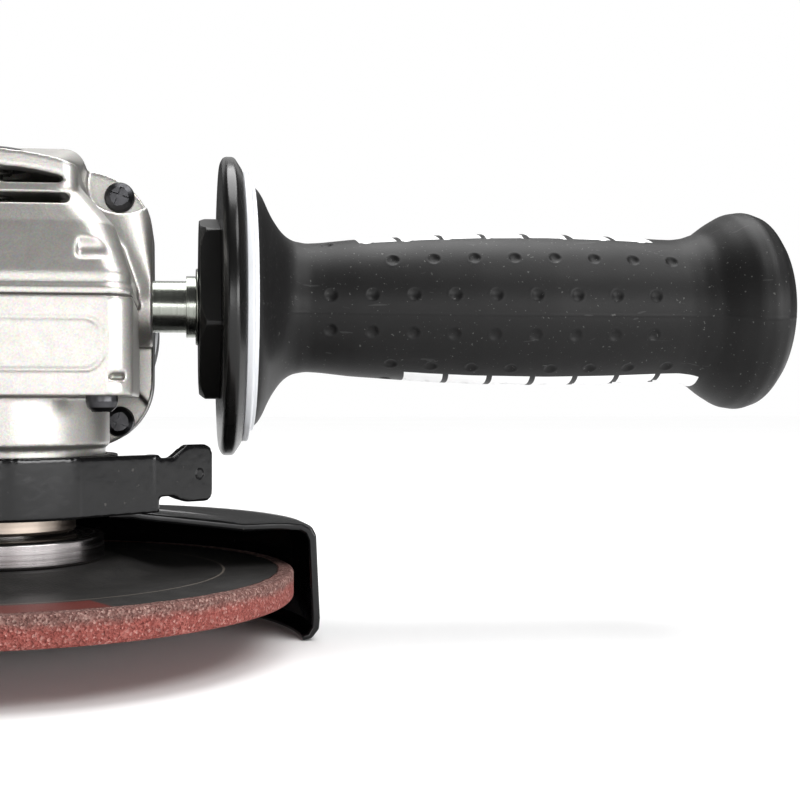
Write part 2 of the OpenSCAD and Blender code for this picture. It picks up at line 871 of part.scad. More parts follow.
// Barrel with a square front that blends into a round body
module motor_housing() {
    color(housing_grey)
    difference() {
        on_motor()
        union() {
            translate([0, 0, flange_y]) linear_extrude(14) round_rect(flange_w, flange_h, 16);
            hull() {
                translate([0, 0, flange_y + 13.5]) linear_extrude(0.5)
                    round_rect(flange_w, flange_h, 16, $fn = 48);
                translate([0, 0, 66]) cylinder(r = barrel_d / 2, h = 1, $fn = 96);
            }
            disc(barrel_d / 2, 66, 150);
            translate([0, 0, 150])
                cylinder(r1 = barrel_d / 2, r2 = 26, h = barrel_end_y - 150);
        }
        on_motor() {
            disc(28.9, flange_y - 1, 56);
            disc(26.9, 55, core_y - 4);
            disc(stator_r, core_y - 5, core_y + core_l + 3);
            disc(27.6, core_y + core_l, 150);
            translate([0, 0, 149.9]) cylinder(r1 = 27.6, r2 = 23.4, h = barrel_end_y - 149);
            four(housing_screws) disc(2.15, flange_y - 1, flange_y + 20);
            for (y = [-1, 1]) translate([0, y * 25.4, 0]) disc(3.4, 50, core_y);
        }
        // slot for the switch knob
        block([-4.2, knob_y + 2, axis_z + 22], [4.2, knob_y + 24, axis_z + 40]);
        // shallow seat of the knob
        block([-8.3, knob_y - 8, axis_z + barrel_d / 2 - 1], [8.3, knob_y + 28, axis_z + 40]);
        // openings for the carbon brushes
        for (x = [-1, 1])
            translate([0, commutator_y + 8, axis_z]) rotate([0, x * 90, 0]) disc(7, 20, 40);
        // cooling vents along both flanks
        for (x = [-1, 1], i = [0 : 4], z = [-1, 1])
            block([x * 29 - 6, 152 + i * 4.6, axis_z + z * 9 - 6],
                  [x * 29 + 6, 154.2 + i * 4.6, axis_z + z * 9 + 6]);
    }
    color(housing_grey)
    on_motor()
    difference() {
        union() {
            tube(15.5, 13, rear_bearing_y, rear_bearing_y + 12);
            for (a = [45 : 90 : 315])
                rotate([0, 0, a]) translate([14.5, -1.2, rear_bearing_y + 2]) cube([13.6, 2.4, 9]);
        }
        disc(13, 130, 150);
    }
}

module brush_holders() {
    color(gloss_black)
    for (x = [-1, 1])
        translate([0, commutator_y + 8, axis_z]) rotate([0, x * 90, 0])
        difference() {
            union() {
                disc(6.8, 21, 30.6);
                translate([-4.4, -4.8, 13]) cube([8.8, 9.6, 10]);
            }
            translate([-2.6, -3.2, 10]) cube([5.2, 6.4, 19]);
            translate([-4, -0.6, 29.8]) cube([8, 1.2, 2]);
        }
}

module carbon_brushes() {
    color(rubber_black)
    for (x = [-1, 1])
        translate([0, commutator_y + 8, axis_z]) rotate([0, x * 90, 0])
            translate([-2.5, -3.1, 11.6]) cube([5, 6.2, 10.6]);
}

module brush_springs() {
    color(steel)
    for (x = [-1, 1])
        translate([0, commutator_y + 8, axis_z]) rotate([0, x * 90, 0])
            for (i = [0 : 4])
                translate([0, 0, 22.8 + i * 1.3])
                    rotate_extrude() translate([1.8, 0]) circle(0.3, $fn = 16);
}

// ---------- rear ----------

module rear_cover() {
    color(housing_grey)
    difference() {
        on_motor() hull() {
            translate([0, 0, barrel_end_y]) cylinder(r = 26, h = 1, $fn = 72);
            translate([0, 0, 196]) linear_extrude(1) round_rect(48, 52, 20, $fn = 48);
            translate([0, 0, tail_end_y - 8]) linear_extrude(1) round_rect(44, 50, 19, $fn = 48);
            translate([0, 0, tail_end_y - 1]) linear_extrude(1) round_rect(36, 42, 15, $fn = 48);
        }
        on_motor() {
            hull() {
                translate([0, 0, barrel_end_y - 1]) cylinder(r = 23.4, h = 1, $fn = 48);
                translate([0, 0, 196]) linear_extrude(1) round_rect(43, 47, 18, $fn = 32);
                translate([0, 0, tail_end_y - 9]) linear_extrude(1) round_rect(39, 45, 17, $fn = 32);
                translate([0, 0, tail_end_y - 4]) linear_extrude(1) round_rect(31, 37, 13, $fn = 32);
            }
            disc(8, tail_end_y - 10, tail_end_y + 1);
        }
        // air inlets
        for (x = [-1, 1], i = [0 : 5])
            block([x * 24 - 5, 186 + i * 4.6, axis_z - 14], [x * 24 + 5, 188.2 + i * 4.6, axis_z + 14]);
        for (x = [-1, 1])
            translate([x * 17, 184, axis_z - 40]) disc(1.9, 0, 40);
        for (x = [-1, 1])
            translate([x * 12, 240, axis_z - 40]) disc(3.4, 0, 19);
        for (x = [-1, 1])
            translate([x * 12, 240, axis_z - 40]) disc(1.9, 0, 30);
    }
}

module rear_cover_screws() {
    color(gloss_black)
    for (x = [-1, 1])
        translate([x * 12, 240, axis_z - 22.6]) pan_screw(3.2, 1.8, 1.9, 9);
}

module switch_knob() {
    color(gloss_black)
    difference() {
        union() {
            hull() {
                block([-7.5, knob_y, axis_z + barrel_d / 2 - 0.7],
                      [7.5, knob_y + 24, axis_z + barrel_d / 2 + 1.4]);
                block([-5.5, knob_y + 3, axis_z + barrel_d / 2 + 3.4],
                      [5.5, knob_y + 19, axis_z + barrel_d / 2 + 3.8]);
            }
            block([-3.6, knob_y + 9, rod_top], [3.6, knob_y + 17, axis_z + barrel_d / 2]);
        }
        for (i = [0 : 4])
            block([-8, knob_y + 5 + i * 2.8, axis_z + barrel_d / 2 + 3],
                  [8, knob_y + 6 + i * 2.8, axis_z + barrel_d / 2 + 4]);
    }
}

module switch_rod() {
    color(steel)
    block([-2.4, knob_y + 10, rod_top - 1.6], [2.4, 194, rod_top]);
    block([-2.4, 192.4, axis_z + 13.4], [2.4, 194, rod_top]);
}

module switch_unit() {
    color(gloss_black)
    difference() {
        union() {
            block([-10, 196, axis_z - 10], [10, 226, axis_z + 13]);
            block([-4, 199, axis_z + 12.9], [4, 208, axis_z + 15]);
        }
        block([-11, 203, axis_z + 8], [-9, 219, axis_z + 9]);
        block([9, 203, axis_z + 8], [11, 219, axis_z + 9]);
    }
}

module capacitor() {
    color([0.75, 0.6, 0.2]) block([-9, 199, axis_z - 20.4], [9, 221, axis_z - 11]);
}

// Round wire along straight legs, with a ball at each bend
module wire(points, r) {
    for (i = [0 : len(points) - 2]) {
        d = points[i + 1] - points[i];
        l = norm(d);
        translate(points[i])
            rotate([0, acos(d[2] / l), atan2(d[1], d[0])]) cylinder(r = r, h = l, $fn = 24);
        if (i > 0) translate(points[i]) sphere(r * 1.15, $fn = 24);
    }
}

module lead_wires() {
    color(copper) {
        wire([[-13.5, 148, axis_z - 16], [-13.5, 205, axis_z - 8], [-13.5, 232, axis_z - 4]], 1.3);
        wire([[13.5, 148, axis_z - 16], [13.5, 205, axis_z - 8], [13.5, 232, axis_z - 4]], 1.3);
    }
}

module cord_gland() {
    color(rubber_black)
    on_motor()
    rotate_extrude()
        polygon([[cord_d / 2, tail_end_y - 7], [11, tail_end_y - 7], [11, tail_end_y - 4],
                 [8, tail_end_y - 4], [8, tail_end_y], [10, tail_end_y],
                 [10, tail_end_y + 2.5], [8.4, tail_end_y + 8], [7.6, tail_end_y + 9],
                 [cord_d / 2, tail_end_y + 9]]);
}

module cord_clamp() {
    color(gloss_black)
    difference() {
        block([-15.5, 235.5, axis_z - 13.4], [15.5, 244.5, axis_z - 5]);
        translate([0, 230, axis_z - 2]) rotate([-90, 0, 0]) disc(cord_d / 2, 0, 30);
        for (x = [-1, 1]) translate([x * 12, 240, 0]) disc(1.9, 40, 90);
    }
}

module rating_plate() {
    color(steel)
    intersection() {
        on_motor() tube(barrel_d / 2 + 0.3, barrel_d / 2, 70, 104);
        block([20, 70, axis_z - 11], [40, 104, axis_z + 11]);
    }
}

gear_housing();
bearing_box();
housing_gasket();
bearing_box_screws();
gear_housing_screws();
lock_button();
lock_pin();
lock_spring();
spindle();
ring_gear();
spindle_bearing_outer();
spindle_bearing_inner();
spindle_bearing_balls();
bearing_retainer();
needle_bearing();
dust_ring();
inner_flange();
grinding_wheel();
lock_nut();
guard_shell();
clamp_band();
clamp_lever();
lever_pin();
clamp_screw();
handle_shank();
handle_washer();
handle_hub();
handle_flange();
damper_ring();
handle_grip();
handle_core();
armature_shaft();
armature_core();
armature_windings();
commutator();
cooling_fan();
drive_pinion();
pinion_nut();
front_bearing();
rear_bearing();
bearing_boot();
stator_core();
field_coils();
stator_screws();
baffle_plate();
motor_housing();
brush_holders();
carbon_brushes();
brush_springs();
rear_cover();
rear_cover_screws();
switch_knob();
switch_rod();
switch_unit();
capacitor();
lead_wires();
cord_gland();
cord_clamp();
rating_plate();
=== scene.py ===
"""Looks of the angle grinder: materials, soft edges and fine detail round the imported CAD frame.

Metres, with +X along the side handle, +Y to the rear of the motor and +Z up the spindle.
"""

import math

import bmesh
import bpy
import numpy as np
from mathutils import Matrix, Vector


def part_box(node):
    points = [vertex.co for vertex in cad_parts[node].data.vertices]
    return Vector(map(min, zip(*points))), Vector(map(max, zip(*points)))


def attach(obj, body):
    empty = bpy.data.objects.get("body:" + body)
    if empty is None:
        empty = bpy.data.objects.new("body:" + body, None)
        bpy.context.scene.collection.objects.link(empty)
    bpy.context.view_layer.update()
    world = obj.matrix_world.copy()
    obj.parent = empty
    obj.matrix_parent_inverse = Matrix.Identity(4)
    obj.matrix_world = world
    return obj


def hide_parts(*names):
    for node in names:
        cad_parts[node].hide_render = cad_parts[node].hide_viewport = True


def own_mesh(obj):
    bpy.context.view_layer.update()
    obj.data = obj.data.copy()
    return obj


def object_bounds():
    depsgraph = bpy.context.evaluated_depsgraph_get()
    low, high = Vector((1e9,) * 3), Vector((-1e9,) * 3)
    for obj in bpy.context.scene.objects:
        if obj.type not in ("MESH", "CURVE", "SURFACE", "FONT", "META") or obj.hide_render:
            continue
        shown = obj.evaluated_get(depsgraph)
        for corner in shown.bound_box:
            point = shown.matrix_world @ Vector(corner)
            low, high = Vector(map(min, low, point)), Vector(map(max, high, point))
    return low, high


MM = 0.001

# ---------- node helpers ----------


class Shader:
    """A node material with a Principled shader, built up one node at a time."""

    def __init__(self, name):
        self.material = bpy.data.materials.new(name)
        self.material.use_nodes = True
        self.tree = self.material.node_tree
        self.tree.nodes.clear()
        self.surface = self.add("ShaderNodeBsdfPrincipled")
        self.out = self.add("ShaderNodeOutputMaterial")
        self.link(self.surface.outputs[0], self.out.inputs["Surface"])
        self.coords = self.add("ShaderNodeTexCoord").outputs["Object"]

    def add(self, kind, **settings):
        node = self.tree.nodes.new(kind)
        for key, value in settings.items():
            setattr(node, key, value)
        return node

    def link(self, source, target):
        self.tree.links.new(source, target)

    def feed(self, socket, value):
        """Sets an input socket to a number or colour, or links another socket to it."""
        if isinstance(value, bpy.types.NodeSocket):
            self.link(value, socket)
        else:
            socket.default_value = value

    def set(self, **values):
        """Feeds inputs of the Principled shader, named in lower case with underscores."""
        for key, value in values.items():
            self.feed(self.surface.inputs[key.replace("_", " ").title().replace("Ior", "IOR")], value)

    def scaled(self, stretch):
        """Object coordinates stretched by a factor on each axis."""
        node = self.add("ShaderNodeMapping")
        self.link(self.coords, node.inputs["Vector"])
        node.inputs["Scale"].default_value = stretch
        return node.outputs[0]

    def noise(self, scale, detail=3.0, rough=0.55, stretch=None, distortion=0.0):
        node = self.add("ShaderNodeTexNoise")
        self.link(self.scaled(stretch) if stretch else self.coords, node.inputs["Vector"])
        node.inputs["Scale"].default_value = scale
        node.inputs["Detail"].default_value = detail
        node.inputs["Roughness"].default_value = rough
        node.inputs["Distortion"].default_value = distortion
        return node.outputs["Fac"]

    def cells(self, scale, output="Distance"):
        node = self.add("ShaderNodeTexVoronoi", feature="F1")
        self.link(self.coords, node.inputs["Vector"])
        node.inputs["Scale"].default_value = scale
        return node.outputs[output]

    def ramp(self, fac, *stops):
        """A colour ramp; each stop is (position, colour)."""
        node = self.add("ShaderNodeValToRGB")
        self.link(fac, node.inputs["Fac"])
        points = node.color_ramp.elements
        while len(points) < len(stops):
            points.new(0.5)
        for point, (place, colour) in zip(points, stops):
            point.position = place
            point.color = (*colour, 1)
        return node.outputs["Color"]

    def span(self, fac, low, high, to_low=0.0, to_high=1.0, smooth=False):
        """Maps low..high of a socket to to_low..to_high."""
        node = self.add("ShaderNodeMapRange")
        if smooth:
            node.interpolation_type = "SMOOTHSTEP"
        self.link(fac, node.inputs["Value"])
        limits = {"From Min": low, "From Max": high, "To Min": to_low, "To Max": to_high}
        for name, value in limits.items():
            node.inputs[name].default_value = value
        return node.outputs["Result"]

    def math(self, operation, a, b=0.0):
        node = self.add("ShaderNodeMath", operation=operation)
        for socket, value in zip(node.inputs, (a, b)):
            self.feed(socket, value)
        return node.outputs[0]

    def mix(self, fac, a, b, blend="MIX"):
        """Mixes two colours, each a socket or an RGB tuple."""
        node = self.add("ShaderNodeMix", data_type="RGBA", blend_type=blend)
        # inputs 0, 6 and 7 and output 2 are the ones that a colour mix uses
        for socket, value in ((node.inputs[0], fac), (node.inputs[6], a), (node.inputs[7], b)):
            self.feed(socket, (*value, 1) if isinstance(value, tuple) else value)
        return node.outputs[2]

    def xyz(self):
        node = self.add("ShaderNodeSeparateXYZ")
        self.link(self.coords, node.inputs[0])
        return node.outputs

    def radius(self, centre_a, centre_b, axes):
        """Distance from an axis that runs through (centre_a, centre_b) on two of the axes."""
        parts = self.xyz()
        a = self.math("SUBTRACT", parts[axes[0]], centre_a)
        b = self.math("SUBTRACT", parts[axes[1]], centre_b)
        squares = self.math("ADD", self.math("MULTIPLY", a, a), self.math("MULTIPLY", b, b))
        return self.math("SQRT", squares)

    def bump(self, height, distance):
        """Adds a bump on top of the ones that are there."""
        node = self.add("ShaderNodeBump")
        node.inputs["Strength"].default_value = 1.0
        node.inputs["Distance"].default_value = distance
        before = self.surface.inputs["Normal"]
        if before.is_linked:
            self.link(before.links[0].from_socket, node.inputs["Normal"])
        self.link(height, node.inputs["Height"])
        self.link(node.outputs[0], before)


def shade(colour, factor):
    return tuple(min(1.0, c * factor) for c in colour)


# ---------- materials ----------


def dipped_paint(name, colour, rough, peel, dimple=None):
    """Thick gloss paint with waves and a few dust nibs; dimple is the place of a pressed round mark."""
    s = Shader(name)
    nibs = s.span(s.noise(900, 2, 0.4), 0.74, 0.78, 0.0, 0.5)
    base = s.ramp(s.noise(28, 2), (0.3, shade(colour, 0.9)), (0.7, shade(colour, 1.1)))
    s.set(base_color=s.mix(nibs, base, (0.10, 0.095, 0.085)))
    s.set(coat_weight=0.25, coat_roughness=0.06, specular_ior_level=0.36)
    s.set(roughness=s.span(s.noise(260, 2), 0.3, 0.7, rough * 0.85, rough * 1.15))
    s.bump(s.noise(150, 2), peel)
    s.bump(s.noise(520, 2), peel * 0.2)
    if dimple:
        floor_r, edge_r, depth = 0.0008, 0.0014, 0.0005
        gap = s.add("ShaderNodeVectorMath", operation="DISTANCE")
        s.link(s.coords, gap.inputs[0])
        gap.inputs[1].default_value = dimple
        s.bump(s.span(gap.outputs["Value"], floor_r, edge_r, smooth=True), depth)
    return s.material


def silver_enamel():
    """Satin metallic enamel over a casting, with fine flake and a faint cast waviness."""
    s = Shader("silver_enamel")
    colour = (0.46, 0.447, 0.425)
    flake = s.cells(3200, output="Color")
    base = s.ramp(s.noise(24, 3), (0.3, shade(colour, 0.95)), (0.7, shade(colour, 1.05)))
    s.set(base_color=s.mix(0.10, base, flake, "OVERLAY"))
    s.set(metallic=0.8, coat_weight=0.2, coat_roughness=0.25)
    s.set(roughness=s.span(s.noise(420, 2), 0.3, 0.7, 0.36, 0.40))
    s.bump(s.noise(1900, 2), 0.00003)
    s.bump(s.noise(110, 1), 0.00002)
    return s.material


def moulded(name, colour, rough, grain_scale=1800, grain=0.00002, coat=0.0, tone=0.1, gloss=0.4):
    """Moulded plastic or rubber: fine grain, slight tone change and dusty low spots."""
    s = Shader(name)
    dust = s.noise(60, 4, 0.6)
    s.set(base_color=s.ramp(dust, (0.3, shade(colour, 1 - tone)), (0.75, shade(colour, 1 + tone))))
    s.set(roughness=s.span(s.noise(90, 3), 0.3, 0.7, rough * 0.9, rough * 1.1))
    s.set(coat_weight=coat, coat_roughness=0.12, specular_ior_level=gloss)
    s.bump(s.noise(grain_scale, 3), grain)
    return s.material


def worn_rubber(centre_y, centre_z):
    """Matte grip rubber with dust specks, rubbed patches and plain white dashes above and below."""
    # the dashes run between two places along X, where the height is a large share of the radius
    dash_from, dash_to = 0.0835, 0.1551
    half_pitch, half_gap, lean = 0.0051, 0.0006, 0.35
    edge_share, edge_blur = 0.897, 0.004
    blur = 0.0001
    s = Shader("worn_rubber")
    dark, light = (0.0070, 0.0068, 0.0069), (0.0105, 0.0102, 0.0104)
    base = s.ramp(s.noise(38, 5, 0.65), (0.3, dark), (0.75, light))
    specks = s.span(s.noise(1500, 2, 0.4), 0.70, 0.74)
    base = s.mix(s.math("MULTIPLY", specks, 0.45), base, (0.15, 0.15, 0.145))
    scuff = s.span(s.noise(420, 2, 0.5, stretch=(0.25, 1, 1), distortion=0.8), 0.70, 0.72, 0.0, 0.25)
    base = s.mix(scuff, base, (0.09, 0.09, 0.09))
    x, _, z = s.xyz()
    up = s.math("SUBTRACT", z, centre_z)
    tilt = s.math("DIVIDE", s.math("ABSOLUTE", up), s.radius(centre_y, centre_z, (1, 2)))
    slant = s.math("ADD", x, s.math("MULTIPLY", up, lean))
    dash = s.math("PINGPONG", s.math("SUBTRACT", slant, dash_from), half_pitch)
    printed = s.math("MULTIPLY", s.span(dash, half_gap, half_gap + blur),
                     s.span(tilt, edge_share, edge_share + edge_blur))
    along = s.math("MULTIPLY", s.span(slant, dash_from - blur, dash_from + blur),
                   s.span(slant, dash_to + blur, dash_to - blur))
    printed = s.math("MULTIPLY", printed, along)
    s.set(base_color=s.mix(printed, base, (0.82, 0.82, 0.82)))
    s.set(roughness=s.span(s.noise(30, 4), 0.3, 0.7, 0.42, 0.52), specular_ior_level=0.29)
    s.bump(s.noise(2200, 3), 0.000022)
    s.bump(s.noise(70, 3), 0.00006)
    return s.material


def machined(name, colour, rough, centre, axes, depth=0.000012, tone=0.12):
    """Turned metal: fine rings round an axis, with slow stains."""
    pitch = 0.00022
    s = Shader(name)
    r = s.radius(centre[0], centre[1], axes)
    along = s.xyz()[3 - sum(axes)]
    rings = s.add("ShaderNodeTexNoise", noise_dimensions="1D")
    s.link(s.math("ADD", r, along), rings.inputs["W"])
    rings.inputs["Scale"].default_value = 1 / pitch / 4
    rings.inputs["Detail"].default_value = 4
    fac = rings.outputs["Fac"]
    stain = s.noise(45, 4)
    base = s.ramp(stain, (0.3, shade(colour, 1 - tone)), (0.7, shade(colour, 1 + tone)))
    s.set(base_color=s.mix(s.span(fac, 0.35, 0.65, 0.0, 0.22), base, shade(colour, 0.7)))
    s.set(metallic=1.0, roughness=s.span(fac, 0.3, 0.7, rough * 0.8, rough * 1.25))
    s.bump(fac, depth)
    return s.material


def plain_metal(name, colour, rough, tone=0.15):
    """Ground or plated metal with stains and fine scratches."""
    s = Shader(name)
    stain = s.noise(120, 4)
    s.set(base_color=s.ramp(stain, (0.3, shade(colour, 1 - tone)), (0.7, shade(colour, 1 + tone))))
    s.set(metallic=1.0, roughness=s.span(s.noise(300, 3), 0.3, 0.7, rough * 0.8, rough * 1.2))
    s.bump(s.noise(500, 2, stretch=(1, 8, 8)), 0.00001)
    return s.material


def laminations():
    """Stacked steel sheets across the motor axis."""
    s = Shader("laminations")
    wave = s.add("ShaderNodeTexWave", bands_direction="Y")
    s.link(s.coords, wave.inputs["Vector"])
    wave.inputs["Scale"].default_value = 320
    s.set(base_color=s.mix(wave.outputs["Fac"], (0.16, 0.15, 0.15), (0.33, 0.32, 0.31)))
    s.set(metallic=0.9, roughness=s.span(s.noise(200), 0.3, 0.7, 0.35, 0.5))
    s.bump(wave.outputs["Fac"], 0.00005)
    return s.material


def copper_wire():
    """Enamelled copper windings."""
    s = Shader("copper_wire")
    wave = s.add("ShaderNodeTexWave", bands_direction="DIAGONAL")
    s.link(s.coords, wave.inputs["Vector"])
    wave.inputs["Scale"].default_value = 380
    wave.inputs["Distortion"].default_value = 1.5
    s.set(base_color=s.mix(wave.outputs["Fac"], (0.24, 0.07, 0.02), (0.75, 0.32, 0.12)))
    s.set(metallic=0.8, roughness=s.span(s.noise(200), 0.3, 0.7, 0.25, 0.4))
    s.bump(wave.outputs["Fac"], 0.0001)
    return s.material


def grinding_stone(label_r, top_z):
    """Resin-bonded grit with a dark printed disc on top that leaves the rim bare."""
    band_r, line_r = label_r * 0.82, label_r * 0.80
    grit_scale, grit_depth = 2300, 0.00045
    s = Shader("grinding_stone")
    r = s.radius(0, 0, (0, 1))
    x, y, z = s.xyz()
    tint = s.add("ShaderNodeSeparateColor")
    s.link(s.cells(grit_scale, output="Color"), tint.inputs[0])
    grain = tint.outputs[0]
    patch = s.noise(210, 5, 0.75)
    red = s.ramp(grain, (0.0, (0.19, 0.050, 0.042)), (0.5, (0.30, 0.094, 0.080)),
                 (0.85, (0.37, 0.14, 0.12)), (1.0, (0.50, 0.28, 0.25)))
    red = s.mix(s.span(patch, 0.35, 0.65, 0.0, 0.55), red, (0.24, 0.070, 0.058))
    # the upper part of the rim is greyer
    high = s.span(s.math("ADD", z, s.span(patch, 0.0, 1.0, -0.0014, 0.0014)),
                  top_z - 0.0028, top_z - 0.0012)
    dull = s.ramp(grain, (0.0, (0.11, 0.062, 0.055)), (0.6, (0.20, 0.125, 0.11)),
                  (1.0, (0.36, 0.26, 0.23)))
    stone = s.mix(s.math("MULTIPLY", high, 0.8), red, dull)
    # printed paper disc, with part of a red band, one ring line and rubbed patches
    ragged = s.math("ADD", r, s.span(s.noise(300, 3), 0.0, 1.0, -0.0007, 0.0007))
    printed = s.math("MULTIPLY", s.span(ragged, label_r, label_r - 0.0004),
                     s.span(z, top_z - 0.0011, top_z - 0.0007))
    ink = s.ramp(s.noise(260, 4), (0.3, (0.030, 0.029, 0.028)), (0.75, (0.050, 0.048, 0.046)))
    slant = s.math("ADD", x, s.math("MULTIPLY", y, 0.5))
    sector = s.math("MULTIPLY", s.span(r, band_r, label_r * 0.83), s.span(slant, 0.0, -0.0006))
    sector = s.math("MULTIPLY", sector, s.span(y, -0.020, -0.021))
    ink = s.mix(s.math("MULTIPLY", sector, 0.85), ink, (0.15, 0.030, 0.022))
    line = s.math("ABSOLUTE", s.math("SUBTRACT", r, line_r))
    ink = s.mix(s.span(line, 0.0003, 0.0002), ink, (0.17, 0.15, 0.13))
    scratch = s.span(s.noise(230, 2, 0.5, stretch=(1, 0.12, 1), distortion=0.6), 0.71, 0.73, 0.0, 0.9)
    # rubbed patches fade out away from the flange
    near = s.span(r, 0.040, 0.030)
    ink = s.mix(s.math("MULTIPLY", scratch, near), ink, (0.40, 0.12, 0.045))
    s.set(base_color=s.mix(printed, stone, ink), specular_ior_level=0.35)
    s.set(roughness=s.math("SUBTRACT", 0.95, s.math("MULTIPLY", printed, 0.45)))
    # the paper hides most of the grit
    rough = s.span(printed, 0.0, 1.0, 1.0, 0.10)
    s.bump(s.math("MULTIPLY", s.cells(grit_scale), rough), grit_depth)
    s.bump(s.math("MULTIPLY", s.noise(700, 4, 0.7), rough), 0.0005)
    return s.material


def floor_material():
    """White studio floor without gloss."""
    s = Shader("studio_floor")
    s.set(base_color=s.ramp(s.noise(3), (0.3, (0.895, 0.895, 0.895)), (0.7, (0.905, 0.905, 0.905))))
    s.set(roughness=1.0, specular_ior_level=0.0)
    return s.material


# ---------- mesh helpers ----------


def add_object(name, data):
    obj = bpy.data.objects.new(name, data)
    bpy.context.scene.collection.objects.link(obj)
    return obj


def add_mesh(name, verts, faces):
    mesh = bpy.data.meshes.new(name)
    mesh.from_pydata([tuple(v) for v in verts], [], faces)
    mesh.update()
    for p in mesh.polygons:
        p.use_smooth = True
    return add_object(name, mesh)


def mark_sharp(obj, degrees):
    """Splits the shading at corners sharper than the angle, and turns every face outwards."""
    mesh = bmesh.new()
    mesh.from_mesh(obj.data)
    bmesh.ops.recalc_face_normals(mesh, faces=mesh.faces)
    for edge in mesh.edges:
        if len(edge.link_faces) == 2 and edge.calc_face_angle(0) > math.radians(degrees):
            edge.smooth = False
    mesh.to_mesh(obj.data)
    mesh.free()


def soften(obj, width, angle):
    """Rounds the edges of a CAD node and smooths its curved faces."""
    bevel = obj.modifiers.new("edges", "BEVEL")
    bevel.width = width
    bevel.segments = 3
    bevel.limit_method = "ANGLE"
    bevel.angle_limit = math.radians(angle)
    bevel.use_clamp_overlap = True
    bevel.harden_normals = True
    weld = obj.modifiers.new("weighted", "WEIGHTED_NORMAL")
    weld.keep_sharp = True
    weld.weight = 80


def dress(nodes, material, width=None, angle=30):
    """Gives CAD nodes a material, and soft edges where width is set."""
    for name in nodes:
        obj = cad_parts[name]
        obj.data.materials.clear()
        obj.data.materials.append(material)
        for p in obj.data.polygons:
            p.use_smooth = True
        if width:
            weld = obj.modifiers.new("join", "WELD")
            weld.merge_threshold = 0.002 * MM
            soften(obj, width, angle)


def crisp(nodes):
    """Keeps the corners of small machined shapes sharp in the shading."""
    for name in nodes:
        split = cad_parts[name].modifiers.new("corners", "EDGE_SPLIT")
        split.split_angle = math.radians(32)


def cast_skin(name, voxel, rounds):
    """Turns a CAD node's hard edges into soft fillets, as on a die casting or under thick paint."""
    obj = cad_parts[name]
    remesh = obj.modifiers.new("skin", "REMESH")
    remesh.mode = "VOXEL"
    remesh.voxel_size = voxel
    remesh.use_smooth_shade = True
    smooth = obj.modifiers.new("fillets", "SMOOTH")
    smooth.factor = 0.5
    smooth.iterations = rounds


# ---------- the object ----------

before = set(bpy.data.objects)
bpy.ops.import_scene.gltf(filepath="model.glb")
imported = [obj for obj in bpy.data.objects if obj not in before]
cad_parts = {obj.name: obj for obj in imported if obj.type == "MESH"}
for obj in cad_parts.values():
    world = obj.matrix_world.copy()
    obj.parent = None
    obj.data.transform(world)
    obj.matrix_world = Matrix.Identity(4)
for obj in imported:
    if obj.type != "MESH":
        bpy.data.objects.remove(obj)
cad_low, cad_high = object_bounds()

handle_low, handle_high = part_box("handle_grip")
handle_y = (handle_low.y + handle_high.y) / 2
motor_z = (handle_low.z + handle_high.z) / 2
wheel_low, wheel_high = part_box("grinding_wheel")
wheel_r = (wheel_high.x - wheel_low.x) / 2
# the outer, flat part of the depressed-centre wheel, and the bare rim round its paper disc
wheel_thickness, bare_rim = 0.006, 0.0032


def grip_radius(x):
    """Radius of the rubber grip at x, in mm, from its flare at the hand flange to its domed end."""
    points = ((54.8, 28.1), (56.6, 26.0), (58.2, 22.2), (60.1, 19.1), (61.8, 17.0), (63.9, 15.6),
              (67.1, 15.0), (70.6, 15.2), (77.6, 16.0), (95.2, 17.2), (105.7, 17.7), (123.0, 18.0),
              (137.3, 17.7), (151.3, 17.1), (155.2, 17.0), (158.3, 17.4), (161.8, 18.6),
              (165.3, 21.2), (168.9, 23.3), (172.4, 23.8), (175.9, 22.6), (179.0, 18.8),
              (181.0, 13.0), (181.8, 7.0), (182.0, 0.0))
    return float(np.interp(x, *zip(*points)))


def turned(name, node, profile, material, body):
    """Turned piece round the handle axis, with rounded corners; profile is (x, radius, corner) in mm."""
    sides, steps = 256, 7
    outline = []
    count = len(profile)
    for i, (x, r, corner) in enumerate(profile):
        here = Vector((x, r))
        before = Vector(profile[(i - 1) % count][:2])
        after = Vector(profile[(i + 1) % count][:2])
        if corner == 0:
            outline.append(here)
            continue
        # a quadratic curve rounds the corner
        start = here + (before - here).normalized() * corner
        end = here + (after - here).normalized() * corner
        for k in range(steps + 1):
            t = k / steps
            outline.append(start * (1 - t) ** 2 + here * 2 * t * (1 - t) + end * t * t)
    verts, faces = [], []
    n = len(outline)
    for j in range(sides):
        angle = 2 * math.pi * j / sides
        for point in outline:
            verts.append((point.x * MM, handle_y + point.y * MM * math.sin(angle),
                          motor_z + point.y * MM * math.cos(angle)))
    for j in range(sides):
        k = (j + 1) % sides
        for i in range(n):
            m = (i + 1) % n
            faces.append((j * n + i, k * n + i, k * n + m, j * n + m))
    piece = add_mesh(name, verts, faces)
    mark_sharp(piece, 40)
    piece.data.materials.append(material)
    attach(piece, body)
    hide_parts(node)


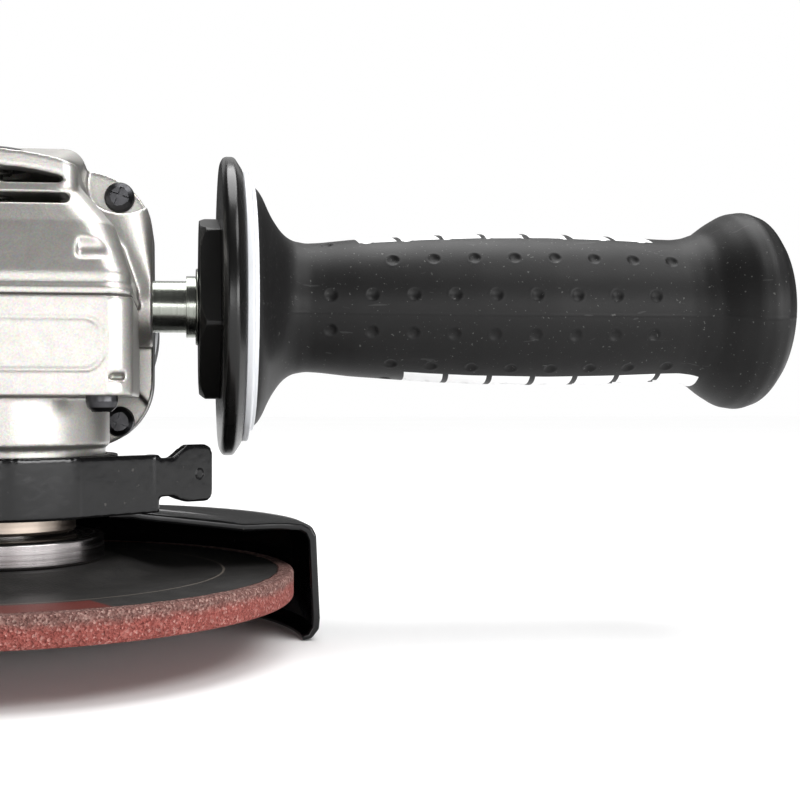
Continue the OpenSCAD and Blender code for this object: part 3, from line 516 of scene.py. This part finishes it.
def build_grip():
    """Rubber grip: a turned body with moulded dimples in staggered rows and a parting line."""
    rings, sides = 520, 360
    start, tip = handle_low.x / MM, handle_high.x / MM
    # the outline is blurred, so that it has no corners
    samples, half_blur = 4000, 30
    blur = 2 * half_blur + 1
    fine = np.linspace(start, tip, samples)
    radii = np.array([grip_radius(x) for x in fine])
    beyond_tip = -radii[-half_blur - 1:-1][::-1]
    padded = np.concatenate([np.full(half_blur, radii[0]), radii, beyond_tip])
    soft = np.convolve(padded, np.ones(blur) / blur, "valid")
    soft[0] = radii[0]
    soft[-1] = 0.0
    # even steps along the outline, so that the domed end gets enough rings
    length = np.concatenate([[0], np.cumsum(np.hypot(np.diff(fine), np.diff(soft)))])
    at = np.interp(np.linspace(0, length[-1], rings), length, fine)
    rad = np.interp(at, fine, soft)
    rows, pitch, stagger, dimple_r, deep = 12, 9.3, 5.0, 1.4, 0.5
    lip_height, lip_half = 0.04, 0.2
    first, last = 71.6, 156.0
    seam_lift, seam_half, seam_reach = 0.09, 0.14, 1
    sector = 2 * math.pi / rows
    verts, faces = [], []
    for i in range(rings):
        for j in range(sides):
            # the angle runs from the front of the handle, upwards
            angle = 2 * math.pi * j / sides
            r = rad[i]
            if first - 3 < at[i] < last + 3:
                row = math.floor(angle / sector)
                row_angle = (row + 0.5) * sector
                # three rows of every six, two of them beside a parting line, start nearer the flare
                offset = 0.0 if row % 6 in (0, 2, 5) else stagger
                place = first + offset + round((at[i] - first - offset) / pitch) * pitch
                gap = math.hypot(at[i] - place, (angle - row_angle) * r)
                if gap < dimple_r * 1.5 and first + 2 * offset <= place + 1 <= last:
                    r -= deep * max(0.0, 1 - (gap / dimple_r) ** 2) ** 0.8
                    # a faint raised lip runs round each dimple
                    r += lip_height * math.exp(-((gap - dimple_r * 1.15) / lip_half) ** 2)
            for seam in (0.0, math.pi, 2 * math.pi):
                off = (angle - seam) * rad[i]
                if rad[i] > 4 and abs(off) < seam_reach:
                    r += seam_lift * math.exp(-(off / seam_half) ** 2)
            turn = angle - seam_tilt
            verts.append((at[i] * MM, handle_y - r * math.cos(turn) * MM,
                          motor_z + r * math.sin(turn) * MM))
    for i in range(rings - 1):
        for j in range(sides):
            k = (j + 1) % sides
            faces.append((i * sides + j, i * sides + k, (i + 1) * sides + k, (i + 1) * sides + j))
    # flat ring at the start, down to the plastic core
    base = len(verts)
    core_r = 9.05
    for j in range(sides):
        angle = 2 * math.pi * j / sides
        verts.append((start * MM, handle_y - core_r * math.cos(angle) * MM,
                      motor_z + core_r * math.sin(angle) * MM))
    for j in range(sides):
        k = (j + 1) % sides
        faces.append((base + j, base + k, k, j))
    grip = add_mesh("grip_rubber", verts, faces)
    mark_sharp(grip, 50)
    merge = grip.modifiers.new("tip", "WELD")
    merge.merge_threshold = 0.01 * MM
    grip.data.materials.append(materials["rubber"])
    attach(grip, "side_handle")
    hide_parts("handle_grip")


def build_lock_spring():
    """Coil of the spindle lock spring, built at its rest length."""
    low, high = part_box("lock_spring")
    turns, steps, sides, wire = 6, 40, 10, 0.35 * MM
    # shares of the wire that lie flat at the two ends
    flat = 0.1
    centre = (low + high) / 2
    coil_r = (high.x - low.x) / 2 - wire
    rise = high.z - low.z - 2 * wire
    count = turns * steps + 1
    verts, faces = [], []
    for i in range(count):
        angle = 2 * math.pi * i / steps
        t = min(1.0, max(0.0, (i / (count - 1) - flat) / (1 - 2 * flat)))
        for j in range(sides):
            around = 2 * math.pi * j / sides
            r = coil_r + wire * math.cos(around)
            verts.append((centre.x + r * math.cos(angle), centre.y + r * math.sin(angle),
                          low.z + wire + rise * t + wire * math.sin(around)))
    for i in range(count - 1):
        for j in range(sides):
            k = (j + 1) % sides
            faces.append((i * sides + j, (i + 1) * sides + j, (i + 1) * sides + k, i * sides + k))
    faces.append(tuple(range(sides)))
    faces.append(tuple((count - 1) * sides + j for j in reversed(range(sides))))
    coil = add_mesh("lock_coil", verts, faces)
    mark_sharp(coil, 50)
    coil.data.materials.append(materials["steel"])
    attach(coil, "housing")
    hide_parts("lock_spring")
    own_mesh(coil)


# the parting line faces the viewer a little below the handle's middle
seam_tilt = math.radians(8)

# small round mark pressed into the lever's paddle
lever_dimple = (0.0423, 0.0013, 0.0302)

paint = ((0.0050, 0.0050, 0.0055), 0.17, 0.00012)
bright_steel = (0.55, 0.54, 0.52)

materials = {
    "silver": silver_enamel(),
    "black_paint": dipped_paint("gloss_black_paint", *paint),
    "lever_paint": dipped_paint("lever_paint", *paint, lever_dimple),
    "black_screw": plain_metal("blackened_steel", (0.085, 0.085, 0.09), 0.34),
    "gloss_plastic": moulded("gloss_black_plastic", (0.0060, 0.0058, 0.0056), 0.26, 900, 0.000012,
                             gloss=0.5),
    "hub_plastic": moulded("satin_black_plastic", (0.0105, 0.0100, 0.0095), 0.42, 1500, 0.00004,
                           gloss=0.45),
    "white": moulded("white_plastic", (0.60, 0.61, 0.63), 0.38, 1200, 0.000012, tone=0.03),
    "rubber": worn_rubber(handle_y, motor_z),
    "housing": moulded("grey_housing_plastic", (0.030, 0.031, 0.033), 0.5, 1500, 0.00006, tone=0.12),
    "black_plastic": moulded("black_plastic", (0.020, 0.020, 0.022), 0.42, 1600, 0.00004),
    "boot": moulded("soft_rubber", (0.022, 0.022, 0.023), 0.6, 1400, 0.00003),
    "nylon": moulded("nylon", (0.62, 0.58, 0.48), 0.45, 900, 0.00002, tone=0.05),
    "carbon": moulded("carbon", (0.035, 0.035, 0.037), 0.5, 2400, 0.00003),
    "film": moulded("foil", (0.55, 0.38, 0.08), 0.3, 700, 0.00001, 0.4),
    "gasket": moulded("gasket", (0.075, 0.07, 0.065), 0.7, 1200, 0.00003),
    "zinc": machined("zinc_plated_steel", (0.36, 0.375, 0.34), 0.22, (handle_y, motor_z), (1, 2)),
    "spindle_steel": machined("spindle_steel", bright_steel, 0.26, (0, 0), (0, 1)),
    "dark_flange": machined("dark_flange_steel", (0.36, 0.34, 0.34), 0.24, (0, 0), (0, 1), tone=0.08),
    "beige": machined("beige_ring", (0.44, 0.38, 0.33), 0.36, (0, 0), (0, 1), depth=0.000006),
    "motor_steel": machined("motor_steel", bright_steel, 0.28, (0, motor_z), (0, 2)),
    "steel": plain_metal("plain_steel", (0.52, 0.51, 0.49), 0.3),
    "plate": plain_metal("aluminium_plate", (0.66, 0.67, 0.68), 0.35, 0.06),
    "laminations": laminations(),
    "copper": copper_wire(),
    "stone": grinding_stone(wheel_r - bare_rim, wheel_low.z + wheel_thickness),
}

dress(["gear_housing", "bearing_box"], materials["silver"])
cast_skin("gear_housing", 0.00042, 4)
cast_skin("bearing_box", 0.00042, 3)
dress(["housing_gasket"], materials["gasket"])
screws = ["bearing_box_screws", "gear_housing_screws", "rear_cover_screws"]
dress(screws, materials["black_screw"])
crisp(screws)
dress(["guard_shell"], materials["black_paint"], 0.0005, 25)
dress(["clamp_band"], materials["black_paint"])
dress(["clamp_lever"], materials["lever_paint"])
cast_skin("clamp_band", 0.00034, 8)
cast_skin("clamp_lever", 0.00030, 10)
dress(["handle_hub"], materials["hub_plastic"], 0.0005)
dress(["handle_shank", "handle_washer"], materials["zinc"], 0.00025)
dress(["spindle"], materials["spindle_steel"], 0.00025)
dress(["inner_flange", "lock_nut"], materials["dark_flange"], 0.00025, 20)
dress(["dust_ring"], materials["beige"], 0.00025, 20)
dress(["grinding_wheel"], materials["stone"], 0.0003)
dress(["motor_housing", "rear_cover"], materials["housing"], 0.0006, 32)
dress(["switch_knob", "lock_button", "handle_core", "cord_clamp", "switch_unit", "brush_holders",
       "baffle_plate"], materials["black_plastic"], 0.0004)
dress(["cord_gland", "bearing_boot"], materials["boot"], 0.0004, 20)
dress(["cooling_fan"], materials["nylon"], 0.0002)
dress(["carbon_brushes"], materials["carbon"])
dress(["capacitor"], materials["film"], 0.0006)
dress(["rating_plate"], materials["plate"])
dress(["ring_gear", "drive_pinion", "spindle_bearing_outer", "spindle_bearing_inner",
       "spindle_bearing_balls", "bearing_retainer", "needle_bearing", "lock_pin", "lock_spring",
       "lever_pin", "clamp_screw", "pinion_nut", "stator_screws", "brush_springs", "switch_rod"],
      materials["steel"])
dress(["armature_shaft", "front_bearing", "rear_bearing"], materials["motor_steel"])
dress(["armature_core", "stator_core"], materials["laminations"])
dress(["armature_windings", "commutator", "field_coils", "lead_wires"], materials["copper"])

build_grip()
build_lock_spring()
turned("flange_rim", "handle_flange",
       ((47, 6, 0), (47, 33.0, 0.8), (47.9, 34.5, 0.7), (50.2, 34.5, 0.7), (52.1, 31.6, 0.5),
        (52.1, 6, 0)),
       materials["gloss_plastic"], "side_handle")
turned("damper_lip", "damper_ring",
       ((52.1, 6, 0), (52.1, 31.2, 0.3), (53.6, 31.2, 0.4), (54.0, 28.9, 0.2), (54.8, 28.6, 0.2),
        (54.8, 6, 0)),
       materials["white"], "side_handle")

# ---------- studio ----------

floor_half, floor_z = 6, cad_low.z
corners = [(x * floor_half, y * floor_half, floor_z) for x, y in ((-1, -1), (1, -1), (1, 1), (-1, 1))]
floor = add_mesh("studio_floor", corners, [(0, 1, 2, 3)])
floor.data.materials.append(floor_material())


def area_light(name, place, size, power):
    """Light box of a size in metres and a power in watts, aimed at the head and handle."""
    target = (0.06, 0.02, 0.05)
    data = bpy.data.lights.new(name, "AREA")
    data.shape = "RECTANGLE"
    data.size, data.size_y = size
    data.energy = power
    lamp = add_object(name, data)
    lamp.location = place
    lamp.rotation_euler = (Vector(target) - Vector(place)).to_track_quat("-Z", "Y").to_euler()


# soft overhead light for the floor
overhead = bpy.data.lights.new("overhead", "SUN")
overhead.energy = 3.1
overhead.angle = math.radians(50)
add_object("overhead", overhead).rotation_euler = (math.radians(-14), math.radians(6), 0)

# the surround is dim, so that black parts stay black, and the backdrop seen behind them is white
surround, backdrop_strength = 0.14, 1.0
world = bpy.data.worlds.new("studio")
world.use_nodes = True
nodes, links = world.node_tree.nodes, world.node_tree.links
nodes["Background"].inputs["Color"].default_value = (1, 1, 1, 1)
nodes["Background"].inputs["Strength"].default_value = surround
backdrop = nodes.new("ShaderNodeBackground")
backdrop.inputs["Color"].default_value = (1, 1, 1, 1)
backdrop.inputs["Strength"].default_value = backdrop_strength
path = nodes.new("ShaderNodeLightPath")
blend = nodes.new("ShaderNodeMixShader")
links.new(path.outputs["Is Camera Ray"], blend.inputs["Fac"])
links.new(nodes["Background"].outputs[0], blend.inputs[1])
links.new(backdrop.outputs[0], blend.inputs[2])
links.new(blend.outputs[0], nodes["World Output"].inputs["Surface"])
bpy.context.scene.world = world

area_light("key_box", (0.62, -0.42, 0.90), (0.8, 0.5), 6.5)
area_light("side_strip", (0.72, -0.72, 0.16), (0.95, 0.22), 6.5)
area_light("front_box", (-0.12, -1.10, 0.14), (0.6, 0.24), 2.3)
area_light("left_strip", (-0.95, -0.45, 0.35), (0.2, 0.7), 0.8)
area_light("back_box", (0.05, 1.2, 0.8), (1.2, 0.6), 1.5)

camera = bpy.data.cameras.new("camera")
camera.sensor_width = 36
camera.lens = 57.5
camera.shift_x = 0.11
camera.shift_y = 0.008
camera.clip_start = 0.01
camera_yaw = 6
eye = add_object("camera", camera)
eye.location = (0.0375, -0.2786, 0.0449)
eye.rotation_euler = (math.radians(90), 0, -math.radians(camera_yaw))
bpy.context.scene.camera = eye

view = bpy.context.scene.view_settings
view.view_transform = "Standard"
view.gamma = 0.87
